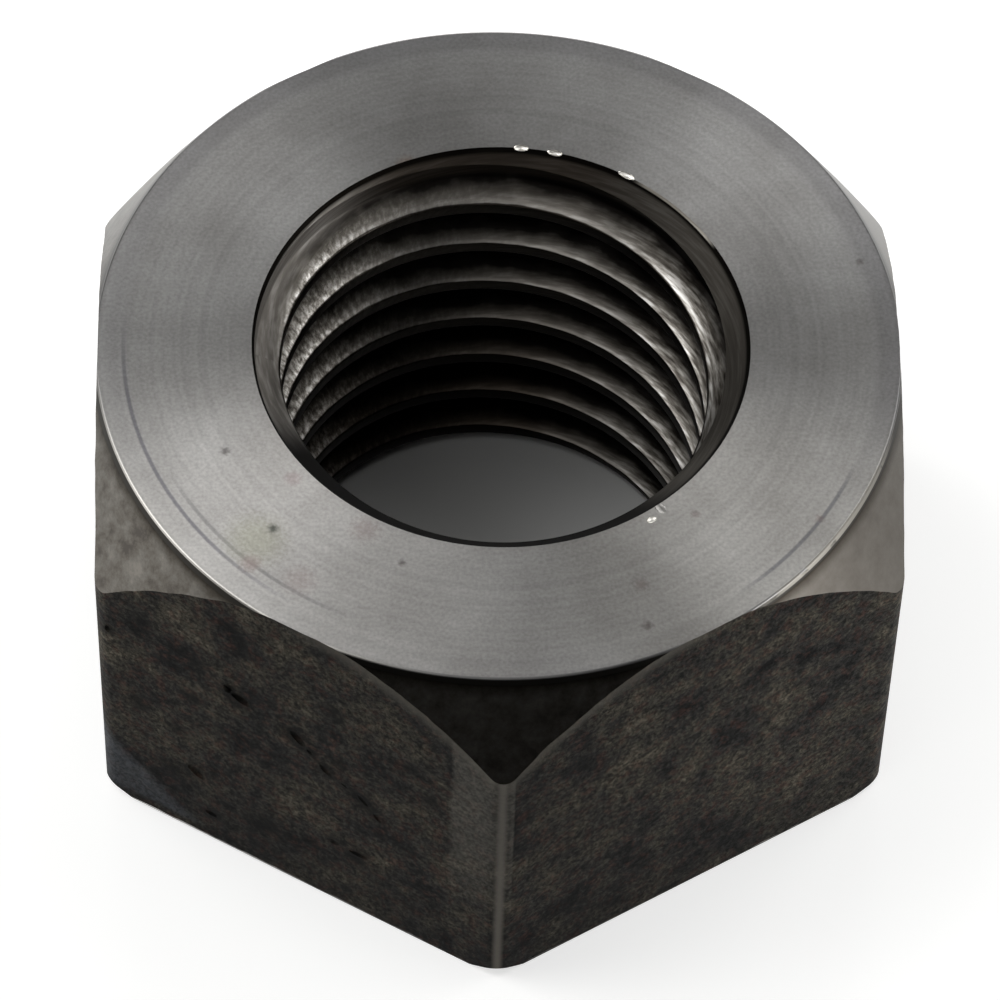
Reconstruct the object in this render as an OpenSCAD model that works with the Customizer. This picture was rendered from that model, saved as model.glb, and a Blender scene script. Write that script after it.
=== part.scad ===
// Arbor nut: a heavy hexagon nut that clamps a saw blade or a grinding wheel on its arbor.
// Millimetres. +Z runs along the bore, and the origin is the bore axis at the plain under face.
// The nut lies as in the photograph: turned clamping face up, one corner towards -Y.
// The bore here is the hole before tapping. The thread's helix itself belongs to the finished look.

/* [Hexagon] */
// Distance across two opposite flats
flats_w = 31.75; // [26:0.05:40]
// Height from the under face to the clamping face
nut_h = 18.2; // [15:0.1:26]
// Radius along the six upright edges, as drawn hexagon bar has
edge_r = 0.9; // [0.4:0.1:2]

/* [Clamping face, on top] */
// How much wider the turned face is than the flats, so each flat just nicks its rim
face_over = 0.3; // [-2:0.1:1]
// Slope of the turned corner chamfer, measured from the face
face_slope = 60; // [30:1:66]
// Small break turned on the face's outer rim
rim_break = 0.2; // [0.1:0.05:0.5]

/* [Under face] */
// How much wider the plain under face is than the flats
under_over = 3.6; // [0.5:0.1:4]
// Slope of the small chamfer that takes the sharp corners off the under face
under_slope = 45; // [20:1:60]

/* [Threaded bore] */
// Nominal diameter of the thread
thread_d = 19.05; // [12:0.05:20]
// Pitch of the thread
thread_pitch = 2.54; // [1.5:0.02:3]
// Share of the full thread height that the tap cuts, in percent: a wider drill leaves less
thread_share = 62; // [50:1:90]
// Opening angle of both countersinks
sink_angle = 82; // [60:1:120]
// Depth of the countersink in the clamping face
top_sink = 1.56; // [0.5:0.02:2.5]
// Depth of the countersink in the under face
under_sink = 0.4; // [0.2:0.05:2.5]

/* [Hidden] */
$fn = 96;
// room for cutters to pass through a face
past = 1;
// height of a full sixty degree thread, from crest flat to groove circle
thread_high = 0.6495 * thread_pitch;
// the hole is drilled to where the crests of the thread will stand
bore_r = thread_d / 2 - thread_high * thread_share / 100;
// radius at the sharp corners, and the distance of each edge rounding's centre
corner_out = flats_w / 2 / cos(30);
edge_centre = corner_out - edge_r / cos(30);
face_r = (flats_w + face_over) / 2;
under_r = (flats_w + under_over) / 2;
// the turned outline is carried this far out, clear of the corners
turn_r = corner_out + past;
sink_run = tan(sink_angle / 2);

// Section of the bar: twelve sides between the tangent points, and a circle in each corner.
module bar_section() {
  polygon([
    for (k = [0:5], side = [-30, 30])
      edge_centre * [cos(60 * k + 30), sin(60 * k + 30)]
        + edge_r * [cos(60 * k + 30 + side), sin(60 * k + 30 + side)]
  ]);
  for (k = [0:5])
    rotate(60 * k + 30)
      translate([edge_centre, 0])
        circle(r = edge_r);
}

// Outline that the lathe leaves: both faces, the rim break and the two corner chamfers.
module turned_blank() {
  rotate_extrude()
    polygon([
      [0, 0],
      [under_r, 0],
      [turn_r, (turn_r - under_r) * tan(under_slope)],
      [turn_r, nut_h - rim_break - (turn_r - face_r) * tan(face_slope)],
      [face_r, nut_h - rim_break],
      [face_r - rim_break, nut_h],
      [0, nut_h]
    ]);
}

// Hole for the arbor: the tapping bore with a countersink at each end.
module arbor_hole() {
  rotate_extrude()
    polygon([
      [0, -past],
      [bore_r + (under_sink + past) * sink_run, -past],
      [bore_r, under_sink],
      [bore_r, nut_h - top_sink],
      [bore_r + (top_sink + past) * sink_run, nut_h + past],
      [0, nut_h + past]
    ]);
}

module nut() {
  color([0.32, 0.31, 0.3])
    difference() {
      intersection() {
        linear_extrude(height = nut_h)
          bar_section();
        turned_blank();
      }
      arbor_hole();
    }
}

nut();
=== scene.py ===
# %% [markdown]
# # An arbor nut
#
# This lesson dresses one real thing: the thick hexagon nut that clamps a saw blade or a grinding
# wheel on its arbor. On the bench it is a slice of dark hexagon bar. A lathe faced it, took its
# corners off and bored it, a countersink opened both ends of the bore, and a tap cut the thread.
# We make it in that order, because then every edge ends up where the real one is: the curved
# scallops on the flats, and the thread that dies away in the countersink.

import math

import bpy
from mathutils import Matrix, Vector


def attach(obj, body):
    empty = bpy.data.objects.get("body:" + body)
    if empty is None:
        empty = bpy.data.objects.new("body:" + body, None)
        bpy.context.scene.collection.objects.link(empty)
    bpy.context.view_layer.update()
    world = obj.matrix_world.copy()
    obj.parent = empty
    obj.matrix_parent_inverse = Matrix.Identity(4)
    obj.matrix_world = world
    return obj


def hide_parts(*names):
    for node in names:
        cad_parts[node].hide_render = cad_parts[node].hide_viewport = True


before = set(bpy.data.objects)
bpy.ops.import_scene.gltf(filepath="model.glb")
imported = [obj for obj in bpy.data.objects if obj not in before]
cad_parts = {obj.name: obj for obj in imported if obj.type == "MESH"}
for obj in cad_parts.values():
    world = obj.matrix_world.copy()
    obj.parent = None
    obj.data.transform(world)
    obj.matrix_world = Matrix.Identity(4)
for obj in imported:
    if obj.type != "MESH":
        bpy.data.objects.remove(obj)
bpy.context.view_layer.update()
print("nodes", list(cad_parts))

# %% [markdown]
# ## Sizes
#
# Blender works in metres and the workshop in millimetres, so one small value turns the one into
# the other. The sizes are those of the solid: the nut stands on its plain under face at height
# zero, its bore runs up the Z axis, and one corner points at the viewer, along minus Y.

# %% Sizes of the nut
MM = 0.001
FLATS = 31.75 * MM
HEIGHT = 18.2 * MM
EDGE_R = 0.9 * MM
FACE_OVER = 0.3 * MM
UNDER_OVER = 3.6 * MM
FACE_R = (FLATS + FACE_OVER) / 2
UNDER_R = (FLATS + UNDER_OVER) / 2
RIM_BREAK = 0.2 * MM
FACE_SLOPE = math.radians(60)
THREAD_R = 19.05 / 2 * MM
PITCH = 2.54 * MM
BORE_R = 8.502 * MM
UNDER_SINK = 0.4 * MM
CORNER_R = FLATS / 2 / math.cos(math.radians(30))
print("corner radius", round(CORNER_R / MM, 3), "mm, bore radius", round(BORE_R / MM, 3), "mm")

# %% [markdown]
# ## The camera
#
# The photograph looks down on the nut at about 53 degrees from a quarter of a metre away, through
# a long lens, and the camera leaned a little. Turning the camera round the nut, not the nut under
# the camera, keeps the part square to its own axes. The camera starts upright and aimed at the
# middle of the clamping face, and is then turned by three small angles about its own axes. The
# lens follows from how many of the picture's thousand pixels a millimetre at the face covers.

# %% Camera
CAMERA_FAR = 0.2331
CAMERA_UP = math.radians(53.23)
CAMERA_TURN = -2.31
CAMERA_YAW = math.radians(-0.06)
CAMERA_PITCH = math.radians(-1.53)
CAMERA_LEAN = math.radians(-1.89)
SENSOR = 36
PIXELS_PER_MM = 25.3069
PICTURE = 1000

aim = Vector((0, 0, HEIGHT))
away = Vector((0, -math.cos(CAMERA_UP), math.sin(CAMERA_UP)))
round_nut = Matrix.Rotation(math.radians(CAMERA_TURN), 3, "Z")
back = round_nut @ away
right = round_nut @ Vector((1, 0, 0))
up = back.cross(right)
for name, angle in (("up", CAMERA_YAW), ("right", CAMERA_PITCH), ("ahead", CAMERA_LEAN)):
    axis = {"up": up, "right": right, "ahead": -back}[name]
    lean = Matrix.Rotation(angle, 3, axis)
    back, right, up = lean @ back, lean @ right, lean @ up

camera_data = bpy.data.cameras.new("camera")
camera_data.sensor_width = SENSOR
camera_data.lens = SENSOR * PIXELS_PER_MM * CAMERA_FAR / MM / PICTURE
camera = bpy.data.objects.new("camera", camera_data)
bpy.context.scene.collection.objects.link(camera)
stand = Matrix((right, up, back)).transposed().to_4x4()
stand.translation = aim + round_nut @ away * CAMERA_FAR
camera.matrix_world = stand
bpy.context.scene.camera = camera
print("lens", round(camera_data.lens, 1), "mm")

# %% [markdown]
# ## Helpers for the bench
#
# An operator acts on everything that is selected, so each step starts from a clean selection, and
# `hold` then takes one piece in hand. `take` names what an operator has just made, and `pick`
# chooses edges or faces of a piece by a test on their place or direction.

# %% Helpers: start clean, hold, take and pick
def start_clean():
    if bpy.context.object and bpy.context.object.mode == "EDIT":
        bpy.ops.object.mode_set(mode="OBJECT")
    bpy.ops.object.select_all(action="DESELECT")


def hold(piece):
    """Select this piece alone and make it the active one."""
    start_clean()
    bpy.context.view_layer.objects.active = piece
    piece.select_set(True)


def take(name):
    """Name the piece that an operator has just made."""
    piece = bpy.context.object
    piece.name = name
    piece.data.name = name
    return piece


def pick(piece, kind, test):
    """Select what passes the test, in edit mode, and return how many did."""
    bpy.ops.object.mode_set(mode="EDIT")
    bpy.ops.mesh.select_mode(type=kind)
    bpy.ops.mesh.select_all(action="DESELECT")
    bpy.ops.object.mode_set(mode="OBJECT")
    parts = piece.data.edges if kind == "EDGE" else piece.data.polygons
    count = 0
    for part in parts:
        part.select = bool(test(part))
        count += part.select
    bpy.ops.object.mode_set(mode="EDIT")
    return count


# %% [markdown]
# A turned form could be a cylinder with bevels. But a lathe hand thinks of its outline, so
# `walk_rings` starts from a flat ring, and extrudes, moves and widens it from one point of the
# outline to the next. `cut` is the cutter: a boolean, after which points closer than a thousandth
# of a millimetre are merged, because they would leave slivers that shade badly.

# %% Helpers: walk rings, shift and cut
TOO_CLOSE = 0.001 * MM


def walk_rings(name, outline, steps):
    """A closed turned solid from its outline, given as (radius, height) from one end to the other."""
    start_clean()
    radius, height = outline[0]
    bpy.ops.mesh.primitive_circle_add(vertices=steps, radius=radius, fill_type="NGON",
                                      location=(0, 0, height))
    piece = take(name)
    bpy.ops.object.transform_apply(location=True)
    bpy.ops.object.mode_set(mode="EDIT")
    bpy.ops.mesh.select_all(action="SELECT")
    for next_radius, next_height in outline[1:]:
        rise = (0, 0, next_height - height)
        bpy.ops.mesh.extrude_region_move(TRANSFORM_OT_translate={"value": rise})
        if next_radius != radius:
            grow = next_radius / radius
            bpy.ops.transform.resize(value=(grow, grow, 1), center_override=(0, 0, next_height))
        radius, height = next_radius, next_height
    bpy.ops.mesh.select_all(action="SELECT")
    bpy.ops.mesh.normals_make_consistent(inside=False)
    bpy.ops.object.mode_set(mode="OBJECT")
    return piece


def shift(piece, away):
    """Move a cutter off the axis before it cuts."""
    hold(piece)
    bpy.ops.transform.translate(value=away)
    bpy.ops.object.transform_apply(location=True)


def cut(piece, tool, operation="DIFFERENCE"):
    """Cut the piece with a tool, or keep what both share, and put the tool away."""
    hold(piece)
    step = piece.modifiers.new("cut", "BOOLEAN")
    step.operation = operation
    step.solver = "EXACT"
    step.object = tool
    bpy.ops.object.modifier_apply(modifier=step.name)
    bpy.data.objects.remove(tool, do_unlink=True)
    bpy.ops.object.mode_set(mode="EDIT")
    bpy.ops.mesh.select_all(action="SELECT")
    bpy.ops.mesh.remove_doubles(threshold=TOO_CLOSE)
    bpy.ops.mesh.dissolve_degenerate(threshold=TOO_CLOSE)
    bpy.ops.mesh.delete_loose()
    bpy.ops.object.mode_set(mode="OBJECT")
    heights = [vertex.co.z / MM for vertex in piece.data.vertices]
    print(piece.name, operation.lower(), "faces", len(piece.data.polygons),
          "from", round(min(heights), 3), "to", round(max(heights), 3), "mm")


# %% [markdown]
# ## A slice of hexagon bar
#
# The blank is sawn from drawn hexagon bar. A six-sided cylinder is that slice, and Blender puts
# its first corner on plus Y, so a corner points at the viewer as well. Drawn bar never has knife
# edges: a bevel of the six upright edges gives the small radius that catches a band of light. The
# slice is a little longer than the nut, because the lathe takes the rest off the top.

# %% Hexagon bar
BAR = HEIGHT + 1 * MM
EDGE_STEPS = 10
LOWER_BLUNT = 0.1 * MM
start_clean()
bpy.ops.mesh.primitive_cylinder_add(vertices=6, radius=CORNER_R, depth=BAR, location=(0, 0, BAR / 2))
nut = take("arbor_nut")
bpy.ops.object.transform_apply(location=True)


def stands_up(edge):
    a, b = (nut.data.vertices[i].co for i in edge.vertices)
    return abs(a.z - b.z) > HEIGHT / 2


def lies_lowest(edge):
    return all(nut.data.vertices[i].co.z < 0.01 * MM for i in edge.vertices)


uprights = pick(nut, "EDGE", stands_up)
bpy.ops.mesh.bevel(offset=EDGE_R * math.tan(math.radians(30)), segments=EDGE_STEPS, profile=0.5,
                   affect="EDGES")
lowest = pick(nut, "EDGE", lies_lowest)
bpy.ops.mesh.bevel(offset=LOWER_BLUNT, segments=2, profile=0.5, affect="EDGES")
bpy.ops.object.mode_set(mode="OBJECT")
print("upright edges rounded:", uprights, "lower edges blunted:", lowest)

# %% [markdown]
# Rolled bar is flat only to the eye. Its skin waves by a few hundredths of a millimetre, and where
# the turned cone meets that skin the border wanders. So each flat becomes a fine grid, and the grid
# sinks a little, by a cloud pattern about a millimetre wide. It never rises above the true flat,
# and it fades out before the rounded edges, which stay true.

# %% Wavy skin
SKIN_CUTS = 59
SKIN_FADE = 1.2 * MM
WAVE_WIDE = 1.1 * MM
WAVE_DEEP = 0.07 * MM


def is_flat(face):
    return abs(face.normal.z) < 0.1 and face.area > (FLATS / 4) ** 2


skins = pick(nut, "FACE", is_flat)
bpy.ops.mesh.subdivide(number_cuts=SKIN_CUTS)
bpy.ops.object.mode_set(mode="OBJECT")
skin = nut.vertex_groups.new(name="skin")
flat_end = (CORNER_R - EDGE_R / math.cos(math.radians(30))) * math.sin(math.radians(30))


def along_flat(point):
    """How far a point stands out along its nearest flat's normal, and how far along that flat it lies."""
    nearest = round(math.degrees(math.atan2(point.y, point.x)) / 60) * 60
    a = math.radians(nearest)
    out = point.x * math.cos(a) + point.y * math.sin(a)
    along = point.y * math.cos(a) - point.x * math.sin(a)
    return out, along


for vertex in nut.data.vertices:
    out, along = along_flat(vertex.co)
    if out > FLATS / 2 - TOO_CLOSE:
        share = min(1.0, max(0.0, (flat_end - abs(along)) / SKIN_FADE))
        skin.add([vertex.index], share, "REPLACE")
waves = bpy.data.textures.new("waves", "CLOUDS")
waves.noise_scale = WAVE_WIDE
waves.noise_depth = 2
sink_in = nut.modifiers.new("sink_in", "DISPLACE")
sink_in.texture = waves
sink_in.texture_coords = "LOCAL"
sink_in.vertex_group = skin.name
sink_in.mid_level = 0.0
sink_in.strength = -WAVE_DEEP
hold(nut)
bpy.ops.object.modifier_apply(modifier=sink_in.name)
nut.vertex_groups.clear()
print("flats:", skins, "vertices:", len(nut.data.vertices))

# %% [markdown]
# ## Facing and chamfering on the lathe
#
# The lathe sees no corners: it turns one round outline, and what sticks out is cut away. So we
# build the round outline as a solid and keep only what it shares with the bar. Where its steep
# cone meets the flats it leaves the curved scallops that tell a turned nut from a moulded one.
# The rim is blunted by a small arc that ends in a narrow band, and the under face only loses its
# sharp corners.

# %% Turned outline
OUT_R = CORNER_R + 1 * MM
RIM_BLUNT = 0.08 * MM
RIM_BAND = 0.27 * MM
RIM_STEPS = 4
ROUND_STEPS = 240
down_cone = Vector((math.cos(FACE_SLOPE), -math.sin(FACE_SLOPE)))
rim_corner = Vector((FACE_R - RIM_BREAK / math.tan(FACE_SLOPE), HEIGHT))
rim_top = rim_corner - Vector((RIM_BLUNT, 0))
rim_low = rim_corner + RIM_BLUNT * down_cone
rim = []
for k in range(RIM_STEPS + 1):
    part = k / RIM_STEPS
    rim.append(rim_top.lerp(rim_corner, part).lerp(rim_corner.lerp(rim_low, part), part))
rim.append(rim_corner + RIM_BAND / math.sin(FACE_SLOPE) * down_cone)
outline = [tuple(point) for point in rim] + [
    (OUT_R, HEIGHT - RIM_BREAK - (OUT_R - FACE_R) * math.tan(FACE_SLOPE)),
    (OUT_R, OUT_R - UNDER_R),
    (UNDER_R - 1 * MM, -1 * MM),
]
blank = walk_rings("turned_blank", outline, ROUND_STEPS)
cut(nut, blank, "INTERSECT")

# %% [markdown]
# ## Boring and countersinking
#
# Three cutters, one for the drill and one for each countersink. Each runs past the faces that it
# opens, since a cutter that ends exactly on a face leaves Blender guessing which side the skin is
# on. On this nut neither is quite central: the bore lies 0.14 mm to the left and the countersink
# 0.09 mm to the right, so the countersink is a little wider on one side, as in the photograph.
# Each row gives the cutter's first and last ring, as radius and height, and where it is moved.

# %% Bore and countersinks
PAST = 1 * MM
SINK_REACH = 4 * MM
MOUTH_R = 9.856 * MM
SINK_SLOPE = math.tan(math.radians(41))
BORE_AWAY = (-0.14 * MM, -0.05 * MM, 0)
SINK_AWAY = (0.09 * MM, 0, 0)
CUTTERS = [
    ("drill", (BORE_R, HEIGHT + PAST), (BORE_R, -PAST), BORE_AWAY),
    ("top_countersink", (MOUTH_R + PAST * SINK_SLOPE, HEIGHT + PAST),
     (MOUTH_R - SINK_REACH * SINK_SLOPE, HEIGHT - SINK_REACH), SINK_AWAY),
    ("under_countersink", (BORE_R + UNDER_SINK + PAST, -PAST),
     (BORE_R + UNDER_SINK - SINK_REACH, SINK_REACH), BORE_AWAY),
]
for name, start, end, away in CUTTERS:
    cutter = walk_rings(name, [start, end], ROUND_STEPS)
    shift(cutter, away)
    cut(nut, cutter)

# %% [markdown]
# ## The tap
#
# A thread is one groove that winds round the bore. The tap has its shape: a standing profile of
# one turn, a flat at the crest, a straight flank, a flat at the root and the flank back, which is
# swept round the axis while it climbs one pitch a turn. It climbs as it turns anticlockwise seen
# from above, which makes it right-handed. The corners of the profile are drawn with small arcs,
# because a worn tap leaves rounded roots and burred, slightly rounded crests.

# %% Profile of one turn
CREST_ARC = 0.07 * MM
ROOT_ARC = 0.14 * MM
ARC_STEPS = 3
CORE_R = BORE_R + 0.01 * MM
flank = (THREAD_R - CORE_R) * math.tan(math.radians(30))
crest_half = 0.27 * MM
root_half = (PITCH - 2 * flank - 2 * crest_half) / 2
print("flank height", round(flank / MM, 3), "mm, crest flat", round(2 * crest_half / MM, 3),
      "mm, root flat", round(2 * root_half / MM, 3), "mm")


def rounded_corner(before, corner, after, radius, steps):
    """Points of an arc that rounds the corner of a profile."""
    a = (Vector(before) - Vector(corner)).normalized()
    b = (Vector(after) - Vector(corner)).normalized()
    half = a.angle(b) / 2
    centre = Vector(corner) + (a + b).normalized() * radius / math.sin(half)
    first = Vector(corner) + a * radius / math.tan(half)
    last = Vector(corner) + b * radius / math.tan(half)
    arc = [centre + (first.lerp(last, k / steps) - centre).normalized() * radius for k in range(1, steps)]
    return [first] + arc + [last]


corners = [
    (CORE_R, -crest_half),
    (CORE_R, crest_half),
    (THREAD_R, crest_half + flank),
    (THREAD_R, crest_half + flank + 2 * root_half),
    (CORE_R, crest_half + 2 * flank + 2 * root_half),
    (CORE_R, PITCH + crest_half),
]
profile = [Vector((CORE_R, 0))]
for k, radius in ((1, CREST_ARC), (2, ROOT_ARC), (3, ROOT_ARC), (4, CREST_ARC)):
    profile += rounded_corner(corners[k - 1], corners[k], corners[k + 1], radius, ARC_STEPS)
profile.append(Vector((CORE_R, PITCH)))
print("profile points", len(profile))

# %% [markdown]
# The profile is drawn as by hand: a single vertex, extruded from point to point. The Screw
# modifier then sweeps it. How high it starts decides where its turns meet the far wall, as the
# camera sees it: the highest crest there lies two millimetres below the face.

# %% Sweep the tap
TURN_STEPS = 144
TURNS = 10
TURNS_BELOW = 8
FAR_WALL = 90 + CAMERA_TURN
CREST_TOP = HEIGHT - 2.03 * MM
HALF_STEP = 1.3
root_z = CREST_TOP + flank + root_half
tap_low = root_z - PITCH / 2 - PITCH * FAR_WALL / 360 - TURNS_BELOW * PITCH
start_clean()
bpy.ops.mesh.primitive_plane_add(size=MM, location=(0, 0, 0))
tap = take("tap")
bpy.ops.object.mode_set(mode="EDIT")
bpy.ops.mesh.select_mode(type="VERT")
bpy.ops.mesh.select_all(action="SELECT")
bpy.ops.mesh.merge(type="CENTER")
bpy.ops.transform.translate(value=(profile[0].x, 0, tap_low + profile[0].y))
for here, there in zip(profile, profile[1:]):
    step = there - here
    bpy.ops.mesh.extrude_vertices_move(TRANSFORM_OT_translate={"value": (step.x, 0, step.y)})
bpy.ops.object.mode_set(mode="OBJECT")

sweep = tap.modifiers.new("sweep", "SCREW")
sweep.axis = "Z"
sweep.angle = math.tau
sweep.screw_offset = PITCH
sweep.iterations = TURNS
sweep.steps = TURN_STEPS
sweep.render_steps = TURN_STEPS
bpy.ops.object.modifier_apply(modifier=sweep.name)
bpy.ops.object.mode_set(mode="EDIT")
bpy.ops.mesh.select_all(action="SELECT")
bpy.ops.mesh.remove_doubles(threshold=2 * TOO_CLOSE)
bpy.ops.object.mode_set(mode="OBJECT")
print("tap faces", len(tap.data.polygons))

# %% [markdown]
# A boolean needs a closed cutter. An edge that only one face uses is an open one, so we choose
# those of one end, pull them two pitches along the axis and merge them in one point there. That
# closes each end with a cone to the axis, well outside the nut.

# %% Close both ends of the tap and cut the thread
middle = tap_low + PITCH * (TURNS + 1) / 2
for sign in (-1, 1):
    used = {}
    for face in tap.data.polygons:
        for key in face.edge_keys:
            used[key] = used.get(key, 0) + 1

    def is_open_end(edge):
        key = tuple(sorted(edge.vertices))
        z = (tap.data.vertices[key[0]].co.z + tap.data.vertices[key[1]].co.z) / 2
        return used.get(key, 0) == 1 and (z - middle) * sign > 0

    count = pick(tap, "EDGE", is_open_end)
    bpy.ops.mesh.extrude_region_move(TRANSFORM_OT_translate={"value": (0, 0, sign * 2 * PITCH)})
    bpy.ops.mesh.select_mode(type="VERT")
    bpy.ops.mesh.merge(type="CENTER")
    bpy.ops.mesh.select_all(action="SELECT")
    bpy.ops.mesh.normals_make_consistent(inside=False)
    bpy.ops.object.mode_set(mode="OBJECT")
    print("closed end", sign, "edges", count)

far = []
for vertex in tap.data.vertices:
    on_root = abs(math.hypot(vertex.co.x, vertex.co.y) - THREAD_R) < 10 * TOO_CLOSE
    turned = math.degrees(math.atan2(vertex.co.y, vertex.co.x))
    if on_root and abs(turned - FAR_WALL) < HALF_STEP:
        far.append(round(vertex.co.z / MM, 2))
print("root heights at the far wall", sorted(far))
shift(tap, BORE_AWAY)
cut(nut, tap)

# %% [markdown]
# ## Surfaces
#
# Four ways of working left four surfaces on one piece of steel, and wear added a fifth. A colour
# is written as its sRGB hex code and turned to the linear values that a shader wants. `add` puts a
# node in a tree, sets its properties and inputs, and links what feeds it. A few settings come back
# so often that they have a name, such as `SHADE`, which darkens a tone by multiplying it.

# %% Colours and nodes
def tone(hex_code):
    """An sRGB hex colour as the linear colour that a shader wants."""
    parts = [int(hex_code[i:i + 2], 16) / 255 for i in (1, 3, 5)]
    return tuple(v / 12.92 if v <= 0.04045 else ((v + 0.055) / 1.055) ** 2.4 for v in parts) + (1.0,)


def add(tree, kind, settings=(), links=()):
    """Add a node, set its properties and input values, and link its inputs.

    "stops" are the places and colours of a ramp, and a text given to an input is a hex colour.
    """
    node = tree.nodes.new(kind)
    for key, value in dict(settings).items():
        if key == "stops":
            ramp = node.color_ramp
            while len(ramp.elements) < len(value):
                ramp.elements.new(1.0)
            for element, (position, hex_code) in zip(ramp.elements, value):
                element.position = position
                element.color = tone(hex_code)
        elif isinstance(key, str) and hasattr(node, key):
            setattr(node, key, value)
        else:
            node.inputs[key].default_value = tone(value) if isinstance(value, str) else value
    feed(tree, node, dict(links))
    return node


def feed(tree, node, links):
    """Link each source to the node's input of that name or number."""
    for key, source in links.items():
        tree.links.new(source, node.inputs[key])


def per_mm(size_mm):
    """Texture scale for a pattern whose features are this many millimetres wide."""
    return 1 / (size_mm * MM)


COLOUR = {"data_type": "RGBA"}
SHADE = {"data_type": "RGBA", "blend_type": "MULTIPLY", 0: 1.0}
PRODUCT = {"operation": "MULTIPLY"}
SCALED_SUM = {"operation": "MULTIPLY_ADD"}
LARGER = {"operation": "MAXIMUM"}
SOFT = {"interpolation_type": "SMOOTHSTEP"}
print("a middle grey is", [round(v, 3) for v in tone("#808080")])

# %% [markdown]
# Most marks on a turned thing keep to a radius, a height or a side of it. So every material
# starts with the same measures of a point on the nut: its place, its height, its distance from
# the axis, the way it faces and its angle round the nut. `side` tells how near a point is to one
# side of the nut: it is 1 within so many degrees of that side, 0 beyond a wider angle.

# %% A steel and the places on it
def new_steel(name, roughness, metallic, pull=0.0, axis=(0, 0, 0)):
    """A material with its tree and shader, and where a point lies on the nut."""
    steel = bpy.data.materials.new(name)
    steel.use_nodes = True
    tree = steel.node_tree
    shader = tree.nodes["Principled BSDF"]
    shader.inputs["Roughness"].default_value = roughness
    shader.inputs["Metallic"].default_value = metallic
    shader.inputs["Anisotropic"].default_value = pull
    shader.inputs["Anisotropic Rotation"].default_value = 0.25
    at = {"place": add(tree, "ShaderNodeTexCoord").outputs["Object"]}
    parts = add(tree, "ShaderNodeSeparateXYZ", {}, {0: at["place"]}).outputs
    at["z"] = parts["Z"]
    off = add(tree, "ShaderNodeVectorMath", {"operation": "SUBTRACT", 1: axis}, {0: at["place"]}).outputs[0]
    flat = add(tree, "ShaderNodeVectorMath", {"operation": "MULTIPLY", 1: (1, 1, 0)}, {0: off}).outputs[0]
    at["radius"] = add(tree, "ShaderNodeVectorMath", {"operation": "LENGTH"}, {0: flat}).outputs["Value"]
    at["way"] = add(tree, "ShaderNodeVectorMath", {"operation": "NORMALIZE"}, {0: flat}).outputs[0]
    at["turn"] = add(tree, "ShaderNodeMath", {"operation": "ARCTAN2"},
                     {0: parts["Y"], 1: parts["X"]}).outputs[0]
    if pull:
        marks = add(tree, "ShaderNodeTangent", {"direction_type": "RADIAL", "axis": "Z"})
        tree.links.new(marks.outputs["Tangent"], shader.inputs["Tangent"])
    return steel, tree, shader, at


def side(tree, at, azimuth, full, end):
    """1 within `full` degrees of an azimuth round the nut, 0 beyond `end`, soft between."""
    a = math.radians(azimuth)
    near = add(tree, "ShaderNodeVectorMath", {"operation": "DOT_PRODUCT", 1: (math.cos(a), math.sin(a), 0)},
               {0: at["way"]}).outputs["Value"]
    reach = {"From Min": math.cos(math.radians(end)), "From Max": math.cos(math.radians(full))}
    return add(tree, "ShaderNodeMapRange", {**SOFT, **reach}, {"Value": near}).outputs["Result"]


# %% [markdown]
# ## The clamping face
#
# The face is faced steel, bright but oxidised to grey. The tool left rings finer than the eye can
# part, so they are drawn a third of a millimetre wide, as coarse as they need to be to show. They
# pull every highlight across themselves, which makes the pale fans. So the shader is strongly
# anisotropic, with its tangent round the axis.

# %% Turned face: rings, clouds and fine specks
turned_face, tree, shader, at = new_steel("turned_face_steel", 0.45, 1.0, 0.9)
rings = add(tree, "ShaderNodeTexNoise", {"noise_dimensions": "1D", "Scale": per_mm(0.35), "Detail": 3.0},
            {"W": at["radius"]}).outputs["Fac"]
clouds = add(tree, "ShaderNodeTexNoise", {"Scale": per_mm(4.0), "Detail": 5.0, "Roughness": 0.6},
             {"Vector": at["place"]}).outputs["Fac"]
fine = add(tree, "ShaderNodeTexNoise", {"Scale": per_mm(0.14), "Detail": 2.0},
           {"Vector": at["place"]}).outputs["Fac"]
print("nodes for the face so far:", len(tree.nodes))

# %% [markdown]
# From the bore to the rim the grey first grows paler, then darker, because a washer has dulled the
# outer band. The border of that band wanders a little with the clouds. The face is palest in two
# fans towards the viewer, which are painted highlights, and within the left fan the outermost ring
# is painted paler too. At the far right the face is a little darker, a painted shade. Each row of
# the table below gives how a colour is laid on, the colour and the mask.

# %% Turned face: tone from the bore to the rim, and painted light and shade from side to side
BAND_START = 14.7 * MM
BAND_FULL = 15.1 * MM
wander = add(tree, "ShaderNodeMath", {**SCALED_SUM, 1: 0.24 * MM}, {0: clouds, 2: at["radius"]}).outputs[0]
outward = add(tree, "ShaderNodeMapRange", {"From Min": 9.0 * MM, "From Max": 16.5 * MM},
              {"Value": wander}).outputs["Result"]
face_tone = add(tree, "ShaderNodeValToRGB", {"stops": [
    (0.1, "#adacaa"), (0.7, "#bbbab8"), (0.76, "#bcbbb9"), (0.82, "#b1b0af"), (0.9, "#acabab")]},
    {"Fac": outward}).outputs[0]
band = add(tree, "ShaderNodeMapRange", {**SOFT, "From Min": BAND_START, "From Max": BAND_FULL},
           {"Value": at["radius"]}).outputs["Result"]
# Painted highlight: the outermost ring at the front left, paler within the left fan.
left_band_highlight = add(tree, "ShaderNodeMath", PRODUCT, {0: band, 1: side(tree, at, 222, 55, 80)}).outputs[0]
# Painted highlights in two fans towards the viewer, and a painted shade at the far right.
PAINTED_FACE_LIGHT = [
    (COLOUR, "#bebdbc", left_band_highlight),
    (COLOUR, "#c8c6c3", side(tree, at, 232, 8, 55)),
    (COLOUR, "#c4c2be", side(tree, at, 312, 6, 42)),
    (SHADE, "#e8e8e8", side(tree, at, 58, 35, 95)),
]
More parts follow.
